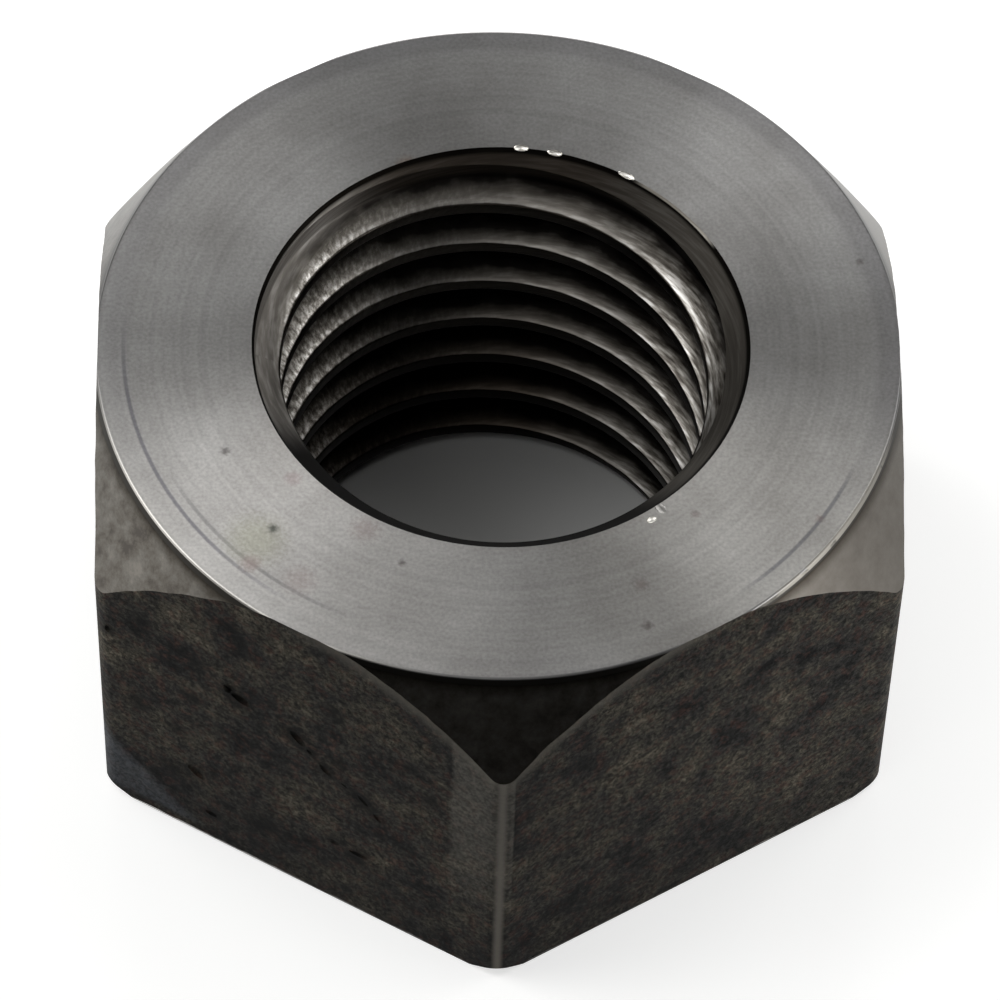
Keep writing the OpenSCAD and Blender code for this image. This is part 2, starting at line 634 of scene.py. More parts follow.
for blend, colour, mask in PAINTED_FACE_LIGHT:
    face_tone = add(tree, "ShaderNodeMix", {**blend, 7: colour}, {0: mask, 6: face_tone}).outputs[2]
print("sides of the face with a tone of their own:", len(PAINTED_FACE_LIGHT))

# %% [markdown]
# The washer's edge printed three thin lines. Each row gives the line's radius in millimetres, the
# azimuth of its middle, the degrees to each side where it is full and where it ends, and its colour.

# %% Turned face: lines that a washer printed
LINE_FULL = 0.03 * MM
LINE_END = 0.12 * MM
LINES = [
    (14.82, 206, 10, 34, "#85848a"),
    (14.35, 226, 8, 22, "#a09f9e"),
    (15.02, 322, 6, 16, "#8c8c8f"),
]
for line_r, azimuth, full, end, colour in LINES:
    gap = add(tree, "ShaderNodeMath", {"operation": "SUBTRACT", 1: line_r * MM},
              {0: at["radius"]}).outputs[0]
    gap = add(tree, "ShaderNodeMath", {"operation": "ABSOLUTE"}, {0: gap}).outputs[0]
    line = add(tree, "ShaderNodeMapRange", {
        **SOFT, "From Min": LINE_FULL, "From Max": LINE_END, "To Min": 0.85, "To Max": 0.0},
        {"Value": gap}).outputs["Result"]
    line = add(tree, "ShaderNodeMath", PRODUCT, {0: line, 1: side(tree, at, azimuth, full, end)}).outputs[0]
    face_tone = add(tree, "ShaderNodeMix", {**COLOUR, 7: colour}, {0: line, 6: face_tone}).outputs[2]
print("printed lines:", len(LINES))

# %% [markdown]
# Oil and fingers left faint stains, a greenish one and a few pinkish ones, and there are some dark
# specks, each at its own place. A noise could not put them there, so they stand in a table: the
# place x and y in millimetres, the radius where the stain is full and where it ends, its colour
# and its strength. The fine pattern makes each border ragged.

# %% Turned face: stains and specks
STAINS = [
    (-9.5, -9.5, 0.3, 1.7, "#aaab92", 0.45),
    (-9.7, -10.6, 0.1, 0.6, "#a88f8d", 0.4),
    (-7.8, -11.4, 0.1, 1.0, "#ae9f9c", 0.4),
    (-5.3, -9.0, 0.1, 0.9, "#9c8b87", 0.4),
    (-8.1, -6.6, 0.1, 0.5, "#ad9697", 0.35),
    (5.3, -11.6, 0.0, 0.45, "#8f7d75", 0.4),
    (5.5, -13.5, 0.0, 0.35, "#716764", 0.6),
    (12.3, -8.5, 0.0, 0.3, "#94807c", 0.45),
    (7.5, -8.3, 0.0, 0.3, "#8e7b79", 0.45),
    (-3.6, 9.0, 0.0, 0.6, "#977860", 0.5),
    (-10.75, -5.29, 0.0, 0.3, "#5d5757", 0.75),
    (-8.85, -8.99, 0.0, 0.32, "#4b504a", 0.85),
    (-3.88, -10.59, 0.0, 0.22, "#67615f", 0.7),
    (14.48, 4.02, 0.0, 0.25, "#6e6866", 0.7),
]
for x, y, full, end, colour, strength in STAINS:
    centre = (x * MM, y * MM, HEIGHT)
    far = add(tree, "ShaderNodeVectorMath", {"operation": "DISTANCE", 1: centre},
              {0: at["place"]}).outputs["Value"]
    ragged = add(tree, "ShaderNodeMath", {**SCALED_SUM, 1: 0.5 * end * MM, 2: -0.25 * end * MM},
                 {0: fine}).outputs[0]
    far = add(tree, "ShaderNodeMath", {"operation": "ADD"}, {0: far, 1: ragged}).outputs[0]
    spot = add(tree, "ShaderNodeMapRange", {
        **SOFT, "From Min": full * MM, "From Max": end * MM, "To Min": strength, "To Max": 0.0},
        {"Value": far}).outputs["Result"]
    face_tone = add(tree, "ShaderNodeMix", {**COLOUR, 7: colour}, {0: spot, 6: face_tone}).outputs[2]
print("stains on the face:", len(STAINS))

# %% [markdown]
# Last, the three patterns lie over everything as light shades, and the rings are given a height
# of a few thousandths of a millimetre, so that the highlights break up along them.

# %% Turned face: shades and relief
for pattern, dark in ((clouds, "#e0dfde"), (rings, "#f4f4f4"), (fine, "#e6e6e6")):
    shade = add(tree, "ShaderNodeValToRGB", {"stops": [(0.3, dark), (0.7, "#ffffff")]}, {"Fac": pattern})
    face_tone = add(tree, "ShaderNodeMix", SHADE, {6: face_tone, 7: shade.outputs[0]}).outputs[2]
ring_bump = add(tree, "ShaderNodeBump", {"Strength": 0.15, "Distance": 0.004 * MM}, {"Height": rings})
feed(tree, shader, {"Base Color": face_tone, "Normal": ring_bump.outputs["Normal"]})
print("nodes for the face:", len(tree.nodes))

# %% [markdown]
# ## The turned chamfers
#
# The cones that take the corners off were turned too, but quickly and never touched since. They
# have gone brown and patchy, except on the right, where they are more even. Under the rim they
# darken twice: softly over the last half millimetre, and in a thin dark line that is a painted shadow.

# %% Turned chamfers
turned_cone, tree, shader, at = new_steel("turned_chamfer_steel", 0.32, 1.0, 0.3)
patches = add(tree, "ShaderNodeTexNoise", {"Scale": per_mm(0.9), "Detail": 8.0, "Roughness": 0.74},
              {"Vector": at["place"]}).outputs["Fac"]
cone_tone = add(tree, "ShaderNodeValToRGB", {"stops": [
    (0.36, "#4b4743"), (0.46, "#5c5852"), (0.54, "#65625d"), (0.66, "#736f69")]},
    {"Fac": patches}).outputs[0]
even = add(tree, "ShaderNodeMath", {**PRODUCT, 1: 0.75}, {0: side(tree, at, 0, 60, 80)}).outputs[0]
cone_tone = add(tree, "ShaderNodeMix", {**COLOUR, 7: "#58544f"}, {0: even, 6: cone_tone}).outputs[2]
# Darker under the rim: first the soft step, then the thin line of painted shadow.
for low, high, colour in ((0.8, 0.25, "#a8a49e"), (0.4, 0.14, "#5a5550")):
    near_rim = add(tree, "ShaderNodeMapRange", {
        **SOFT, "From Min": HEIGHT - low * MM, "From Max": HEIGHT - high * MM},
        {"Value": at["z"]}).outputs["Result"]
    cone_tone = add(tree, "ShaderNodeMix", {**SHADE, 7: colour}, {0: near_rim, 6: cone_tone}).outputs[2]
cone_rings = add(tree, "ShaderNodeTexNoise", {"noise_dimensions": "1D", "Scale": per_mm(0.3), "Detail": 3.0},
                 {"W": at["z"]}).outputs["Fac"]
cone_bump = add(tree, "ShaderNodeBump", {"Strength": 0.3, "Distance": 0.01 * MM}, {"Height": cone_rings})
patch_bump = add(tree, "ShaderNodeBump", {"Strength": 0.12, "Distance": 0.05 * MM},
                 {"Height": patches, "Normal": cone_bump.outputs["Normal"]})
feed(tree, shader, {"Base Color": cone_tone, "Normal": patch_bump.outputs["Normal"]})
print("nodes for the chamfers:", len(tree.nodes))

# %% [markdown]
# ## The flats
#
# The left front flat has pits where rolled-in scale fell out, and one slanting gouge. The same
# table serves twice: for the soot round each pit, and later for the pit itself. Each row gives
# the place along the flat and up it, half the length, half the width, the depth and the slant.
# `SOOT` holds more sooty places: the place along the flat, the place up it and the size.

# %% Places of the pits and of the soot
ALONG = (math.cos(math.radians(330)), math.sin(math.radians(330)), 0)
OUT = (math.cos(math.radians(240)), math.sin(math.radians(240)), 0)


def left_flat(s, z, depth):
    """A point on the left front flat: along it from its middle, up from the under face, outward."""
    return Vector((ALONG[0] * s, ALONG[1] * s, z)) * MM + Vector(OUT) * (FLATS / 2 + depth * MM)


PITS = [
    (-2.6, 11.43, 0.5, 0.26, 0.2, -20),
    (-3.2, 11.75, 0.2, 0.12, 0.1, -30),
    (-0.02, 10.65, 0.5, 0.25, 0.16, -48),
    (0.54, 10.06, 0.2, 0.13, 0.1, -50),
    (-4.78, 4.45, 0.52, 0.25, 0.16, -40),
    (-8.66, 11.95, 0.14, 0.26, 0.12, 0),
    (-4.15, 1.85, 0.3, 0.17, 0.13, -10),
    (-5.0, 9.9, 0.34, 0.12, 0.06, -35),
    (1.24, 9.3, 0.4, 0.17, 0.12, -45),
    (2.1, 8.85, 0.2, 0.1, 0.08, -40),
    (2.95, 8.35, 0.42, 0.16, 0.12, -48),
    (3.6, 7.6, 0.3, 0.14, 0.12, -50),
    (1.6, 4.28, 0.3, 0.2, 0.1, 0),
    (2.75, 4.2, 0.5, 0.18, 0.14, 4),
    (4.9, 12.3, 0.2, 0.1, 0.06, -30),
]
SOOT = [
    (-5.9, 3.8, 1.1),
    (-2.9, 11.4, 1.0),
    (-4.6, 12.5, 0.8),
    (-0.2, 10.7, 0.9),
    (2.9, 8.3, 0.9),
    (2.6, 3.8, 0.9),
    (-1.5, 3.0, 1.3),
    (1.8, 10.2, 0.6),
    (6.0, 10.7, 0.6),
    (1.6, 13.7, 0.6),
    (-3.0, 16.2, 0.6),
    (-7.4, 7.6, 0.8),
    (-5.6, 7.0, 0.6),
    (-7.0, 13.6, 0.7),
    (-4.6, 9.9, 0.5),
]
print("pits on the left flat:", len(PITS), "sooty places:", len(SOOT))

# %% [markdown]
# The flats are as the rolling mill left them: iron scale, nearly black, with brown, rusty and
# bluish patches a few tenths of a millimetre to a few millimetres across, and a fine grain. Scale
# is an oxide and no metal, so it is dull and reflects next to nothing: its tone comes from its
# colour, and the patches stay visible from every side.

# %% Rolled scale: patches, rust and grain
rolled_scale, tree, shader, at = new_steel("rolled_scale", 0.6, 0.0)
shader.inputs["Specular IOR Level"].default_value = 0.04
patches = add(tree, "ShaderNodeTexNoise", {"Scale": per_mm(2.4), "Detail": 9.0, "Roughness": 0.74},
              {"Vector": at["place"]}).outputs["Fac"]
grain = add(tree, "ShaderNodeTexNoise", {"Scale": per_mm(0.2), "Detail": 4.0, "Roughness": 0.7},
            {"Vector": at["place"]}).outputs["Fac"]
rust = add(tree, "ShaderNodeTexNoise", {
    "Scale": per_mm(0.45), "Detail": 4.0, "Roughness": 0.65, "Distortion": 0.4},
    {"Vector": at["place"]}).outputs["Fac"]
scale_tone = add(tree, "ShaderNodeValToRGB", {"stops": [
    (0.35, "#0d0d0d"), (0.43, "#333332"), (0.5, "#4b4944"), (0.57, "#5c584e"), (0.66, "#7f786a")]},
    {"Fac": patches}).outputs[0]
for start, full, strength, colour in ((0.52, 0.62, 0.5, "#604138"), (0.44, 0.36, 0.7, "#181818")):
    flecks = add(tree, "ShaderNodeMapRange", {"From Min": start, "From Max": full, "To Max": strength},
                 {"Value": rust}).outputs["Result"]
    scale_tone = add(tree, "ShaderNodeMix", {**COLOUR, 7: colour}, {0: flecks, 6: scale_tone}).outputs[2]
grain_tone = add(tree, "ShaderNodeValToRGB", {"stops": [
    (0.36, "#6e6e6e"), (0.5, "#bebebe"), (0.64, "#ffffff")]}, {"Fac": grain}).outputs[0]
scale_tone = add(tree, "ShaderNodeMix", SHADE, {6: scale_tone, 7: grain_tone}).outputs[2]
print("nodes for the scale so far:", len(tree.nodes))

# %% [markdown]
# Beside the front edge the left flat is polished in a strip, and low on its other end a slanting
# patch is scraped bare. Both are bounded by straight but ragged borders, so a small helper tells
# on which side of one border a point lies, and each place is the product of its borders. Each
# border gives a direction on the nut, the distance at which it lies, how soft it is and how
# ragged, all in millimetres.

# %% Rolled scale: polished strip and scraped patch
def beyond(direction, start, soft, roughen):
    """1 where a point of the scale lies past `start` along a direction, with a ragged border."""
    far = add(tree, "ShaderNodeVectorMath", {"operation": "DOT_PRODUCT", 1: direction},
              {0: at["place"]}).outputs["Value"]
    ragged = add(tree, "ShaderNodeMath", {**SCALED_SUM, 1: roughen * MM, 2: -roughen / 2 * MM - start * MM},
                 {0: patches}).outputs[0]
    far = add(tree, "ShaderNodeMath", {"operation": "ADD"}, {0: ragged, 1: far}).outputs[0]
    return add(tree, "ShaderNodeMapRange", {**SOFT, "From Min": -soft / 2 * MM, "From Max": soft / 2 * MM},
               {"Value": far}).outputs["Result"]


UP = (0, 0, 1)
DOWN = (0, 0, -1)
SCRAPE_LEAN = math.radians(47.3)
DOWN_LEFT = (-math.cos(SCRAPE_LEAN) * ALONG[0], -math.cos(SCRAPE_LEAN) * ALONG[1], -math.sin(SCRAPE_LEAN))
ON_LEFT_FLAT = (OUT, 15.4, 0.1, 0.0)
BARE_PLACES = [
    ([ON_LEFT_FLAT, (ALONG, 6.9, 0.3, 0.8), (UP, 7.0, 8.0, 3.0), (DOWN, -15.8, 2.0, 1.0)], "#77746d", 0.7),
    ([ON_LEFT_FLAT, (DOWN_LEFT, 2.9, 0.9, 1.6), (UP, 0.6, 0.5, 0.6)], "#676b70", 0.8),
]
uneven = add(tree, "ShaderNodeMapRange", {"From Min": 0.4, "From Max": 0.62},
             {"Value": grain}).outputs["Result"]
for borders, colour, strength in BARE_PLACES:
    mask = add(tree, "ShaderNodeMath", {**SCALED_SUM, 1: strength * 0.5, 2: strength * 0.4},
               {0: uneven}).outputs[0]
    for border in borders:
        mask = add(tree, "ShaderNodeMath", PRODUCT, {0: mask, 1: beyond(*border)}).outputs[0]
    scale_tone = add(tree, "ShaderNodeMix", {**COLOUR, 7: colour}, {0: mask, 6: scale_tone}).outputs[2]
print("places rubbed bare on the left flat:", len(BARE_PLACES))

# %% [markdown]
# Soot lies round each pit and in the other places of the table, with a border that the rust
# pattern tears up. The foot of all flats is a little darker, a painted shade.

# %% Rolled scale: soot and the painted shade at the foot
PIT_SOOT = 0.3
FOOT_SHADE_TOP = 2.5
for s_mm, z_mm, size in SOOT + [(pit[0], pit[1], PIT_SOOT + pit[2]) for pit in PITS]:
    far = add(tree, "ShaderNodeVectorMath", {"operation": "DISTANCE", 1: left_flat(s_mm, z_mm, 0)},
              {0: at["place"]}).outputs["Value"]
    far = add(tree, "ShaderNodeMath", {**SCALED_SUM, 1: 1.4 * size * MM}, {0: rust, 2: far}).outputs[0]
    soot = add(tree, "ShaderNodeMapRange", {
        **SOFT, "From Min": 0.5 * size * MM, "From Max": 2.0 * size * MM, "To Min": 0.9, "To Max": 0.0},
        {"Value": far}).outputs["Result"]
    scale_tone = add(tree, "ShaderNodeMix", {**COLOUR, 7: "#0b0b0b"}, {0: soot, 6: scale_tone}).outputs[2]
# Painted shade: the foot of all flats is darker.
foot_shade = beyond(DOWN, -FOOT_SHADE_TOP, 7.0, 1.0)
scale_tone = add(tree, "ShaderNodeMix", {**SHADE, 7: "#c4c5c9"}, {0: foot_shade, 6: scale_tone}).outputs[2]
print("sooty places with those round the pits:", len(SOOT) + len(PITS))

# %% [markdown]
# Handling rubs a nut where it stands proud: the scale is thin just under the cone at the front
# corner, and down the front edge it has gone through to steel. The flats end where the cone
# begins, so a point's distance below that border follows from its height and radius alone. The
# bright line down the front edge is that bare steel together with a painted highlight of the light
# the rounded edge catches. It is about half a millimetre wide, written as angles seen from the axis.

# %% Rolled scale: rubbed places, the painted highlight on the front edge, and relief
WORN_START = 0.9 * MM
WORN_FULL = 0.1 * MM
RUB_HIGHLIGHT_FULL = 0.001
RUB_HIGHLIGHT_END = 0.016
leaning = add(tree, "ShaderNodeMath", {**SCALED_SUM, 1: math.tan(FACE_SLOPE)},
              {0: at["radius"], 2: at["z"]}).outputs[0]
border = HEIGHT - RIM_BREAK + FACE_R * math.tan(FACE_SLOPE)
worn = add(tree, "ShaderNodeMapRange", {
    **SOFT, "From Min": border - WORN_START, "From Max": border - WORN_FULL, "To Max": 0.55},
    {"Value": leaning}).outputs["Result"]
worn = add(tree, "ShaderNodeMath", PRODUCT, {0: worn, 1: side(tree, at, 270, 24, 34)}).outputs[0]
from_edge = add(tree, "ShaderNodeMath", {"operation": "ADD", 1: math.radians(90)},
                {0: at["turn"]}).outputs[0]
from_edge = add(tree, "ShaderNodeMath", {"operation": "ABSOLUTE"}, {0: from_edge}).outputs[0]
# Worn steel and a painted highlight: the bright line down the front edge.
rub_and_highlight = add(tree, "ShaderNodeMapRange", {
    **SOFT, "From Min": RUB_HIGHLIGHT_FULL, "From Max": RUB_HIGHLIGHT_END, "To Min": 0.8, "To Max": 0.0},
    {"Value": from_edge}).outputs["Result"]
for mask, colour in ((worn, "#736f67"), (rub_and_highlight, "#8f8a82")):
    scale_tone = add(tree, "ShaderNodeMix", {**COLOUR, 7: colour}, {0: mask, 6: scale_tone}).outputs[2]
grain_bump = add(tree, "ShaderNodeBump", {"Strength": 0.55, "Distance": 0.035 * MM}, {"Height": grain})
patch_bump = add(tree, "ShaderNodeBump", {"Strength": 0.6, "Distance": 0.12 * MM},
                 {"Height": patches, "Normal": grain_bump.outputs["Normal"]})
feed(tree, shader, {"Base Color": scale_tone, "Normal": patch_bump.outputs["Normal"]})
print("nodes for the scale:", len(tree.nodes))

# %% [markdown]
# ## The tapped bore
#
# The tap tore the steel as it cut. On the left of the bore the flanks carry short cross marks, a
# fifth of a millimetre apart; on the right the marks run long, the way the tap went. Both are one
# kind of noise, stretched along the thread or across it, on coordinates unrolled from the bore:
# the way round it, the height and the radius. Each row gives the size of a mark in those three
# directions in millimetres, how far it leans and climbs, and the roughness of the noise.

# %% Tapped bore: marks of the tap
tapped_bore, tree, shader, at = new_steel("tapped_bore_steel", 0.36, 1.0, 0.3, BORE_AWAY)
shader.inputs["Specular IOR Level"].default_value = 0.1
MARKS = [
    (0.2, 0.28, 0.3, 0.6, 0.0, 0.65),
    (3.0, 0.13, 0.2, 0.0, 0.1, 0.55),
]
arc = add(tree, "ShaderNodeMath", {**PRODUCT, 1: BORE_R}, {0: at["turn"]}).outputs[0]
marks = []
for round_mm, high_mm, deep_mm, lean_by, climb_by, rough in MARKS:
    leaning = add(tree, "ShaderNodeMath", {**SCALED_SUM, 1: lean_by}, {0: at["z"], 2: arc}).outputs[0]
    climbing = add(tree, "ShaderNodeMath", {**SCALED_SUM, 1: climb_by}, {0: arc, 2: at["z"]}).outputs[0]
    unrolled = add(tree, "ShaderNodeCombineXYZ", {}, {0: leaning, 1: climbing, 2: at["radius"]}).outputs[0]
    scales = (per_mm(round_mm), per_mm(high_mm), per_mm(deep_mm))
    unrolled = add(tree, "ShaderNodeVectorMath", {**PRODUCT, 1: scales}, {0: unrolled}).outputs[0]
    marks.append(add(tree, "ShaderNodeTexNoise", {"Scale": 1.0, "Detail": 5.0, "Roughness": rough},
                     {"Vector": unrolled}).outputs["Fac"])
in_sink = add(tree, "ShaderNodeMapRange", {"From Min": HEIGHT - 1.5 * MM, "From Max": HEIGHT - 1.3 * MM},
              {"Value": at["z"]}).outputs["Result"]
run_long = add(tree, "ShaderNodeMath", LARGER, {0: side(tree, at, 20, 50, 100), 1: in_sink}).outputs[0]
tears = add(tree, "ShaderNodeMix", {"data_type": "FLOAT"},
            {0: run_long, 2: marks[0], 3: marks[1]}).outputs[0]
print("kinds of marks in the bore:", len(marks))

# %% [markdown]
# Arbors have rubbed the edges of the crests bright, and the groove holds old oil and dirt. The tone
# goes by the depth in the groove: brown on the crest itself, a bright line at its edge, then grey to
# nearly black at the bottom. The bright line is rubbed steel and a painted highlight, and the dark
# bottom is painted shade as well as oil and dirt. A cloud pattern makes it uneven, and near the top
# and on the left it is painted lighter, where more light reaches the groove.

# %% Tapped bore: oil, dirt and painted shade in the groove
soil = add(tree, "ShaderNodeTexNoise", {"Scale": per_mm(1.2), "Detail": 4.0},
           {"Vector": at["place"]}).outputs["Fac"]
depth = add(tree, "ShaderNodeMapRange", {"From Min": BORE_R - 0.05 * MM, "From Max": THREAD_R + 0.05 * MM},
            {"Value": at["radius"]}).outputs["Result"]
soil_and_shade = add(tree, "ShaderNodeMath", {**SCALED_SUM, 1: 0.9, 2: 0.55}, {0: soil}).outputs[0]
soil_and_shade = add(tree, "ShaderNodeMath", PRODUCT, {0: depth, 1: soil_and_shade}).outputs[0]
near_top = add(tree, "ShaderNodeMapRange", {"From Min": HEIGHT - 4.5 * MM, "From Max": HEIGHT - 2.5 * MM},
               {"Value": at["z"]}).outputs["Result"]
# Painted light: less darkening near the top of the bore and on its left.
top_and_left_light = add(tree, "ShaderNodeMath", LARGER, {0: near_top, 1: side(tree, at, 170, 25, 75)}).outputs[0]
top_and_left_light = add(tree, "ShaderNodeMath", {**SCALED_SUM, 1: -0.32, 2: 1.0}, {0: top_and_left_light}).outputs[0]
soil_and_shade = add(tree, "ShaderNodeMath", PRODUCT, {0: soil_and_shade, 1: top_and_left_light}).outputs[0]
# A painted highlight at the crest's edge, and painted shade with oil and dirt towards the bottom.
groove_tone = add(tree, "ShaderNodeValToRGB", {"stops": [
    (0.0, "#504c47"), (0.062, "#504c47"), (0.085, "#f1eeea"), (0.13, "#e6e4df"), (0.2, "#aba8a3"),
    (0.36, "#75726d"), (0.56, "#2e2c2a"), (0.85, "#0e0d0c")]}, {"Fac": soil_and_shade}).outputs[0]
print("nodes for the bore so far:", len(tree.nodes))

# %% [markdown]
# The countersink is pale on the left and greyer on the right, a painted light and shade, and dark
# brown behind. Its very mouth has a ring of painted shade all round, with one painted glint at the
# far right. In its lowest part the tones of the groove take over.

# %% Tapped bore: countersink
below = add(tree, "ShaderNodeMapRange", {
    **SOFT, "From Min": HEIGHT - 1.35 * MM, "From Max": HEIGHT - 1.0 * MM, "To Min": 1.0, "To Max": 0.0},
    {"Value": at["z"]}).outputs["Result"]
mouths = []
for low, high in ((0.24, 0.14), (0.1, 0.07)):
    mouth = add(tree, "ShaderNodeMapRange", {"From Min": HEIGHT - low * MM, "From Max": HEIGHT - high * MM},
                {"Value": at["z"]}).outputs["Result"]
    mouths.append(mouth)
# Painted highlight: the glint at the far right of the mouth.
painted_glint = add(tree, "ShaderNodeMath", PRODUCT, {0: mouths[1], 1: side(tree, at, 42, 9, 14)}).outputs[0]
# Painted light and shade: pale on the left, greyer on the right.
sink_tone = add(tree, "ShaderNodeMix", {**COLOUR, 6: "#b8b5b1", 7: "#787570"},
                {0: side(tree, at, 5, 62, 96)}).outputs[2]
# Dark brown behind, the ring of painted shade at the mouth, and the painted glint.
for mask, colour in ((side(tree, at, 92, 20, 45), "#56504a"), (mouths[0], "#1c1a17"), (painted_glint, "#fffbf1")):
    sink_tone = add(tree, "ShaderNodeMix", {**COLOUR, 7: colour}, {0: mask, 6: sink_tone}).outputs[2]
bore_tone = add(tree, "ShaderNodeMix", COLOUR, {0: below, 6: sink_tone, 7: groove_tone}).outputs[2]
print("nodes for the bore with the countersink:", len(tree.nodes))

# %% [markdown]
# The tap's marks shade all this, more calmly in the countersink and on the far wall. Low on the far
# wall and on the right the bore is darker, a painted shade. The front of the countersink, nearest
# the viewer, is painted nearly black, and there the metallic value goes down and the roughness up.

# %% Tapped bore: marks, painted shade, the dark front and relief
tear_tone = add(tree, "ShaderNodeValToRGB", {"stops": [
    (0.36, "#66625e"), (0.5, "#b0ada9"), (0.63, "#ffffff")]}, {"Fac": tears}).outputs[0]
calm = add(tree, "ShaderNodeMath", LARGER, {0: in_sink, 1: side(tree, at, 88, 15, 60)}).outputs[0]
calm = add(tree, "ShaderNodeMath", {**PRODUCT, 1: 0.7}, {0: calm}).outputs[0]
tear_tone = add(tree, "ShaderNodeMix", {**COLOUR, 7: "#b4b1ad"}, {0: calm, 6: tear_tone}).outputs[2]
bore_tone = add(tree, "ShaderNodeMix", SHADE, {6: bore_tone, 7: tear_tone}).outputs[2]
low_down = add(tree, "ShaderNodeMapRange", {
    **SOFT, "From Min": 4.0 * MM, "From Max": 15.0 * MM, "To Min": 1.0, "To Max": 0.0},
    {"Value": at["z"]}).outputs["Result"]
# Painted shade: low on the far wall.
low_far_shade = add(tree, "ShaderNodeMath", PRODUCT, {0: low_down, 1: side(tree, at, 105, 20, 60)}).outputs[0]
dark_front = add(tree, "ShaderNodeMath", PRODUCT, {0: in_sink, 1: side(tree, at, 258, 45, 72)}).outputs[0]
# Painted shade low on the far wall and on the right, and the nearly black front of the countersink.
BORE_DARKENING = [
    (SHADE, "#77706a", low_far_shade),
    (SHADE, "#d2d2d2", side(tree, at, 15, 30, 60)),
    (COLOUR, "#0b0a09", dark_front),
]
for blend, colour, mask in BORE_DARKENING:
    bore_tone = add(tree, "ShaderNodeMix", {**blend, 7: colour}, {0: mask, 6: bore_tone}).outputs[2]
metallic_share = add(tree, "ShaderNodeMath", {"operation": "SUBTRACT", 0: 1.0}, {1: dark_front}).outputs[0]
dull = add(tree, "ShaderNodeMapRange", {"From Max": 0.7, "To Min": 0.3, "To Max": 0.6},
           {"Value": depth}).outputs["Result"]
dull = add(tree, "ShaderNodeMath", LARGER, {0: dull, 1: dark_front}).outputs[0]
tear_bump = add(tree, "ShaderNodeBump", {"Strength": 0.1, "Distance": 0.03 * MM}, {"Height": tears})
feed(tree, shader, {"Base Color": bore_tone, "Metallic": metallic_share, "Roughness": dull})
feed(tree, shader, {"Normal": tear_bump.outputs["Normal"]})
print("nodes for the bore:", len(tree.nodes))

# %% [markdown]
# ## Worn edge with painted rim light and shade, and fresh nicks
#
# Where the nut has been knocked or rubbed, fresh steel shows. It is pale and smooth, so it catches
# any light: in a few nicks, and on the rim at the front left and the front right, where the bright
# lines are worn steel and a painted highlight. On the right the bright line has gaps. Elsewhere the
# rim's arc is grey, and the band under it is dark, a painted shadow. Each row gives the azimuth of a
# bright line's middle, the degrees to each side where it is full and where it ends, how far down the
# rim it reaches in millimetres, what thins it, and its colour.

# %% Worn edge with painted rim light and shade, and fresh nicks
EDGE_FADE = 0.03
rim_wear_and_light, tree, shader, at = new_steel("worn_edge_steel", 0.35, 1.0)
gaps = add(tree, "ShaderNodeTexNoise", {"Scale": per_mm(0.9), "Detail": 3.0},
           {"Vector": at["place"]}).outputs["Fac"]
with_gaps = add(tree, "ShaderNodeMapRange", {"From Min": 0.38, "From Max": 0.46},
                {"Value": gaps}).outputs["Result"]
whole = add(tree, "ShaderNodeValue").outputs[0]
whole.default_value = 1.0
on_arc = add(tree, "ShaderNodeMapRange", {"From Min": HEIGHT - 0.09 * MM, "From Max": HEIGHT - 0.05 * MM},
             {"Value": at["z"]}).outputs["Result"]
# Painted shadow: the dark band under the rim's arc.
edge_tone = add(tree, "ShaderNodeMix", {**COLOUR, 6: "#34322f", 7: "#807f7e"}, {0: on_arc}).outputs[2]
# Worn steel and a painted highlight: the bright lines on the rim at the front left and right.
BRIGHT_EDGES = [
    (222, 8, 42, 0.09, whole, "#a9a6a0"),
    (326, 8, 20, 0.2, with_gaps, "#78756f"),
]
for azimuth, full, end, reach, thinned, colour in BRIGHT_EDGES:
    mask = add(tree, "ShaderNodeMapRange", {
        "From Min": HEIGHT - reach * MM, "From Max": HEIGHT - (reach - EDGE_FADE) * MM},
        {"Value": at["z"]}).outputs["Result"]
    for part in (side(tree, at, azimuth, full, end), thinned):
        mask = add(tree, "ShaderNodeMath", PRODUCT, {0: mask, 1: part}).outputs[0]
    edge_tone = add(tree, "ShaderNodeMix", {**COLOUR, 7: colour}, {0: mask, 6: edge_tone}).outputs[2]
feed(tree, shader, {"Base Color": edge_tone})
fresh_nick, tree, shader, at = new_steel("fresh_nick_steel", 0.4, 1.0)
shader.inputs["Base Color"].default_value = tone("#e4e1da")
surfaces = [turned_face, turned_cone, rolled_scale, tapped_bore, rim_wear_and_light, fresh_nick]
for steel in surfaces:
    nut.data.materials.append(steel)
print("surfaces:", [steel.name for steel in surfaces])

# %% [markdown]
# Each surface is known by its place and slope: the faces lie level, the bore keeps to a small
# radius, the cones and the rim lean, and what is left over is rolled scale. The order of the
# numbers is that of the materials on the nut.

# %% Which face was worked how
FACE, CONE, SCALE, BORE, EDGE, NICK = range(6)
LEVEL = 0.98
LEANING = 0.3
BORE_REACH = MOUTH_R + 0.15 * MM
for face in nut.data.polygons:
    centre = face.center
    slope = face.normal.z
    radius = math.hypot(centre.x, centre.y)
    under_cone = slope < -0.5 and abs(radius - centre.z - UNDER_R) < 0.03 * MM
    if radius < BORE_REACH and abs(slope) < LEVEL:
        face.material_index = BORE
    elif abs(slope) > LEVEL:
        face.material_index = FACE
    elif slope > LEANING and centre.z > HEIGHT - RIM_BAND:
        face.material_index = EDGE
    elif slope > LEANING or under_cone:
        face.material_index = CONE
    else:
        face.material_index = SCALE
shares = [sum(face.area for face in nut.data.polygons if face.material_index == k) for k in range(6)]
print("square millimetres of each surface:", [round(area / MM ** 2, 1) for area in shares])

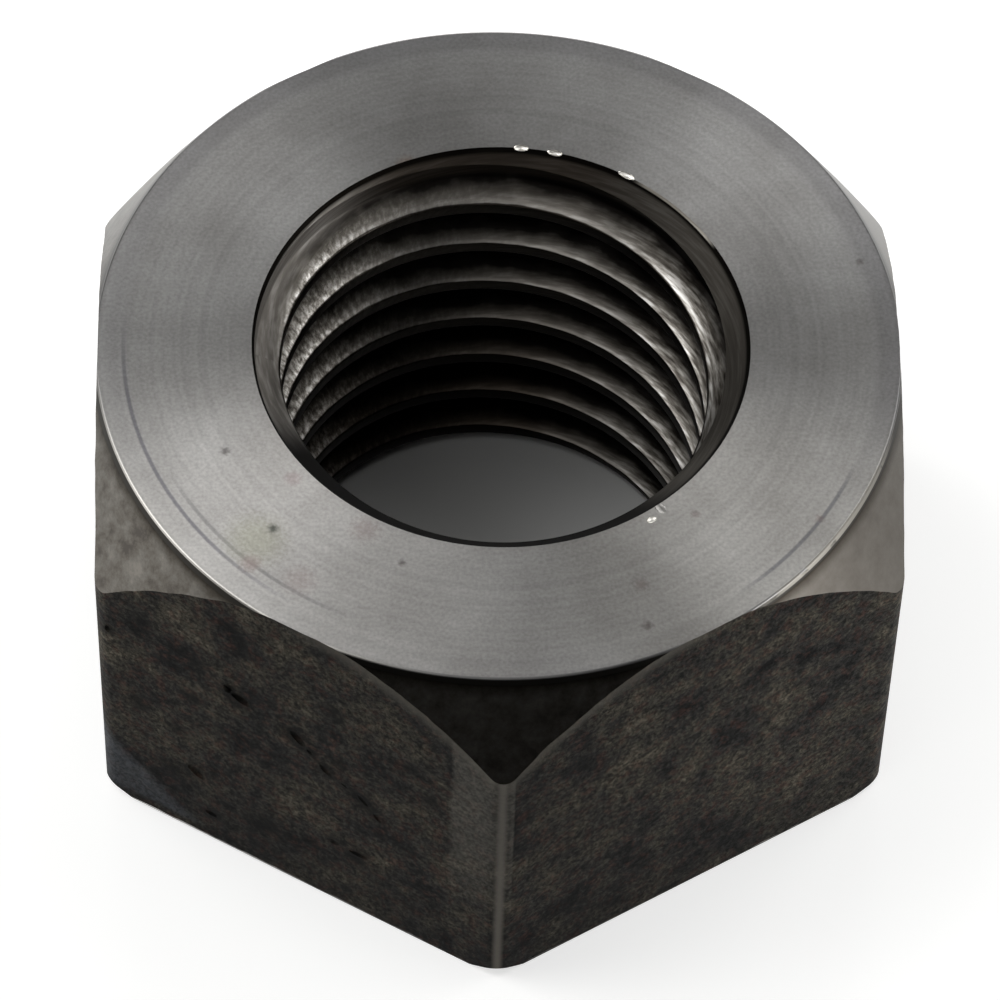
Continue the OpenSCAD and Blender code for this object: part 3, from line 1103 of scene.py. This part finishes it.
# %% [markdown]
# ## Pits and nicks
#
# The left flat has its pits and the gouge, and the rim and the mouth of the bore have nicks from
# knocks. Each is a small hollow, so we model it: lumpy balls, squashed to the size of the mark,
# are set half into the surface and cut away together. Each row of `NICKS` gives the radius and
# azimuth of a nick, half its length, half its width, its depth and the surface that it shows.

# %% Pits and nicks
LUMPS = 0.1
PIT_PROUD = 0.02
NICK_PROUD = 0.01
NICK_SEEDS = 100


def ball(centre, along, out, half, lean_angle, material, seed):
    """A lumpy ball: half sizes along, across and into the surface, leaning by an angle on it."""
    start_clean()
    bpy.ops.mesh.primitive_ico_sphere_add(subdivisions=3, radius=1)
    piece = take("pit")
    bpy.ops.object.mode_set(mode="EDIT")
    bpy.ops.transform.vertex_random(offset=LUMPS, seed=seed)
    bpy.ops.object.mode_set(mode="OBJECT")
    across = Vector(out).cross(Vector(along)).normalized()
    lie = Matrix((Vector(along).normalized(), across, Vector(out).normalized())).transposed()
    lie = lie @ Matrix.Rotation(lean_angle, 3, "Z") @ Matrix.Diagonal([size * MM for size in half])
    piece.matrix_world = Matrix.Translation(centre) @ lie.to_4x4()
    for steel in surfaces:
        piece.data.materials.append(steel)
    for face in piece.data.polygons:
        face.material_index = material
    return piece


NICKS = [
    (MOUTH_R, 84, 0.3, 0.18, 0.12, NICK),
    (MOUTH_R, 76, 0.32, 0.14, 0.13, NICK),
    (MOUTH_R + 0.05 * MM, 58, 0.38, 0.16, 0.11, NICK),
    (MOUTH_R + 0.25 * MM, -52.5, 0.2, 0.26, 0.05, FACE),
    (10.33 * MM, -55.9, 0.2, 0.14, 0.07, NICK),
    (rim_corner.x - 0.02 * MM, 6.8, 0.36, 0.13, 0.14, NICK),
]
balls = []
for k, (s, z, long, wide, deep, lean_angle) in enumerate(PITS):
    place = left_flat(s, z, PIT_PROUD)
    balls.append(ball(place, ALONG, OUT, (long, wide, deep), math.radians(lean_angle), SCALE, k))
for k, (radius, azimuth, long, wide, deep, material) in enumerate(NICKS):
    a = math.radians(azimuth)
    place = (radius * math.cos(a), radius * math.sin(a), HEIGHT + NICK_PROUD * MM)
    along = (-math.sin(a), math.cos(a), 0)
    balls.append(ball(place, along, UP, (long, wide, deep), 0, material, NICK_SEEDS + k))
start_clean()
for piece in balls:
    piece.select_set(True)
bpy.context.view_layer.objects.active = balls[0]
bpy.ops.object.join()
cut(nut, bpy.context.object)
print("marks cut:", len(PITS) + len(NICKS))

# %% [markdown]
# ## Shading, and the nut's place in the frame
#
# Smooth shading hides the facets of the turned forms. Where two surfaces meet the edge stays
# sharp, and so do all the steeper edges of the thread. Only the rim flows into its neighbours,
# because it is a small arc. At the end the nut rides on the part's one body and stands in for
# the plain solid.

# %% Shading and frame
hold(nut)
bpy.ops.object.shade_smooth_by_angle(angle=math.radians(32))
touching = {}
for face in nut.data.polygons:
    for key in face.edge_keys:
        touching.setdefault(key, set()).add(face.material_index)


def is_border(edge):
    both = touching[tuple(sorted(edge.vertices))]
    return len(both) > 1 and not both <= {FACE, EDGE} and not both <= {CONE, EDGE}


borders = pick(nut, "EDGE", is_border)
bpy.ops.mesh.mark_sharp()
bpy.ops.object.mode_set(mode="OBJECT")
weigh = nut.modifiers.new("weigh", "WEIGHTED_NORMAL")
weigh.keep_sharp = True
bpy.ops.object.modifier_apply(modifier=weigh.name)
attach(nut, "root")
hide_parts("nut")
print("border edges kept sharp:", borders, "faces:", len(nut.data.polygons))

# %% [markdown]
# ## Floor
#
# The nut stands on white paper that the camera sees as pure white. A diffuse sheet alone would
# show a shadow, so outside the nut it also glows, but only for what looks at it straight or in a
# mirror: the glow lights nothing. Under the nut it stays off, or the bore would shine from below.

# %% Floor
FLOOR_WIDE = 1.6
FLOOR_LOW = -0.05 * MM
GLOW = 0.62
GLOW_START = 11 * MM
GLOW_FULL = 13 * MM
start_clean()
bpy.ops.mesh.primitive_plane_add(size=FLOOR_WIDE, location=(0, 0, FLOOR_LOW))
floor = take("floor")
bpy.ops.object.transform_apply(location=True)
paper = bpy.data.materials.new("pale_paper")
paper.use_nodes = True
tree = paper.node_tree
tree.nodes.clear()
lit = add(tree, "ShaderNodeBsdfDiffuse", {"Color": "#cfcfcd"}).outputs[0]
place = add(tree, "ShaderNodeTexCoord").outputs["Object"]
reach = add(tree, "ShaderNodeVectorMath", {"operation": "LENGTH"}, {0: place}).outputs["Value"]
glow = add(tree, "ShaderNodeMapRange", {"From Min": GLOW_START, "From Max": GLOW_FULL},
           {"Value": reach}).outputs["Result"]
ray = add(tree, "ShaderNodeLightPath").outputs
shown = ray["Is Camera Ray"]
for kind in ("Is Glossy Ray", "Is Transmission Ray"):
    shown = add(tree, "ShaderNodeMath", {"operation": "ADD", "use_clamp": True},
                {0: shown, 1: ray[kind]}).outputs[0]
glow = add(tree, "ShaderNodeMath", PRODUCT, {0: shown, 1: glow}).outputs[0]
glow = add(tree, "ShaderNodeMath", {**PRODUCT, 1: GLOW}, {0: glow}).outputs[0]
bright = add(tree, "ShaderNodeEmission", {"Color": "#ffffff"}, {"Strength": glow}).outputs[0]
both = add(tree, "ShaderNodeAddShader", {}, {0: lit, 1: bright}).outputs[0]
add(tree, "ShaderNodeOutputMaterial", {}, {"Surface": both})
floor.data.materials.append(paper)
print("floor", FLOOR_WIDE, "m wide")

# %% [markdown]
# ## World
#
# The nut stands in a light tent: pale walls behind and beside it, and the dark opening in front
# through which the camera looks. Bare metal shows what is round it more than its own colour, so
# that dark opening is what makes the front chamfer and the middle of the bore nearly black. Lamps
# could do it, but their small bright shapes would show in the steel. So the walls are soft windows
# in the world, and the camera itself sees plain white. Each row of `WINDOWS` gives the azimuth and
# the height of a window's middle in degrees, and how bright it is.

# %% World
WINDOW_FULL = 4
WINDOW_END = 26
WINDOWS = [
    (90, 6, 4.4),
    (180, 6, 2.0),
    (330, 6, 3.8),
    (345, 6, 3.3),
    (270, 34, 0.66),
    (30, 48, 2.85),
    (150, 48, 0.65),
    (165, 48, 3.3),
    (225, 48, 0.9),
    (150, 60, 1.25),
    (0, 88, 0.75),
]


def toward(azimuth, height):
    """The direction of a point of the sky."""
    a = math.radians(azimuth)
    h = math.radians(height)
    return (math.cos(a) * math.cos(h), math.sin(a) * math.cos(h), math.sin(h))


world = bpy.data.worlds.new("light_tent")
bpy.context.scene.world = world
world.use_nodes = True
sky = world.node_tree
sky.nodes.clear()
way = add(sky, "ShaderNodeTexCoord").outputs["Generated"]
window_edge = {
    "From Min": math.cos(math.radians(WINDOW_END)),
    "From Max": math.cos(math.radians(WINDOW_FULL)),
}
light = add(sky, "ShaderNodeValue").outputs[0]
light.default_value = 0.0
for azimuth, height, strength in WINDOWS:
    near = add(sky, "ShaderNodeVectorMath", {"operation": "DOT_PRODUCT", 1: toward(azimuth, height)},
               {0: way}).outputs["Value"]
    window = add(sky, "ShaderNodeMapRange", {**SOFT, **window_edge, "To Max": strength},
                 {"Value": near}).outputs["Result"]
    light = add(sky, "ShaderNodeMath", {"operation": "ADD"}, {0: light, 1: window}).outputs[0]
walls = add(sky, "ShaderNodeBackground", {}, {"Color": light}).outputs[0]
white = add(sky, "ShaderNodeBackground", {"Color": "#ffffff"}).outputs[0]
ray = add(sky, "ShaderNodeLightPath").outputs
seen = add(sky, "ShaderNodeMixShader", {}, {0: ray["Is Camera Ray"], 1: walls, 2: white}).outputs[0]
add(sky, "ShaderNodeOutputWorld", {}, {"Surface": seen})
print("windows in the tent:", len(WINDOWS))

# %% [markdown]
# ## Black card
#
# A product photographer darkens the low front of a shiny thing with a black card on the table. It
# is the front part of a short tube round the nut. The steel and the floor see it, and the camera
# looks through it, so it hides nothing from a low viewpoint.

# %% Black card
CARD_R = 46 * MM
CARD_HIGH = 34 * MM
CARD_HALF = 50
start_clean()
bpy.ops.mesh.primitive_cylinder_add(vertices=96, radius=CARD_R, depth=CARD_HIGH, end_fill_type="NOTHING",
                                    location=(0, 0, CARD_HIGH / 2))
card = take("black_card")
bpy.ops.object.transform_apply(location=True)


def is_behind(face):
    return abs(math.degrees(math.atan2(face.center.x, -face.center.y))) > CARD_HALF


count = pick(card, "FACE", is_behind)
bpy.ops.mesh.delete(type="FACE")
bpy.ops.object.mode_set(mode="OBJECT")
black = bpy.data.materials.new("black_card")
black.use_nodes = True
tree = black.node_tree
shader = tree.nodes["Principled BSDF"]
shader.inputs["Base Color"].default_value = tone("#141414")
shader.inputs["Roughness"].default_value = 0.9
ray = add(tree, "ShaderNodeLightPath").outputs
clear = add(tree, "ShaderNodeBsdfTransparent").outputs[0]
seen = add(tree, "ShaderNodeMixShader", {}, {0: ray["Is Camera Ray"], 1: shader.outputs[0], 2: clear})
feed(tree, tree.nodes["Material Output"], {"Surface": seen.outputs[0]})
card.data.materials.append(black)
print("card faces left", len(card.data.polygons), "removed", count)

# %% [markdown]
# ## Finish
#
# The standard view shows each colour as it was matched, without the softening of a film look.

# %% Finish
bpy.context.scene.view_settings.view_transform = "Standard"
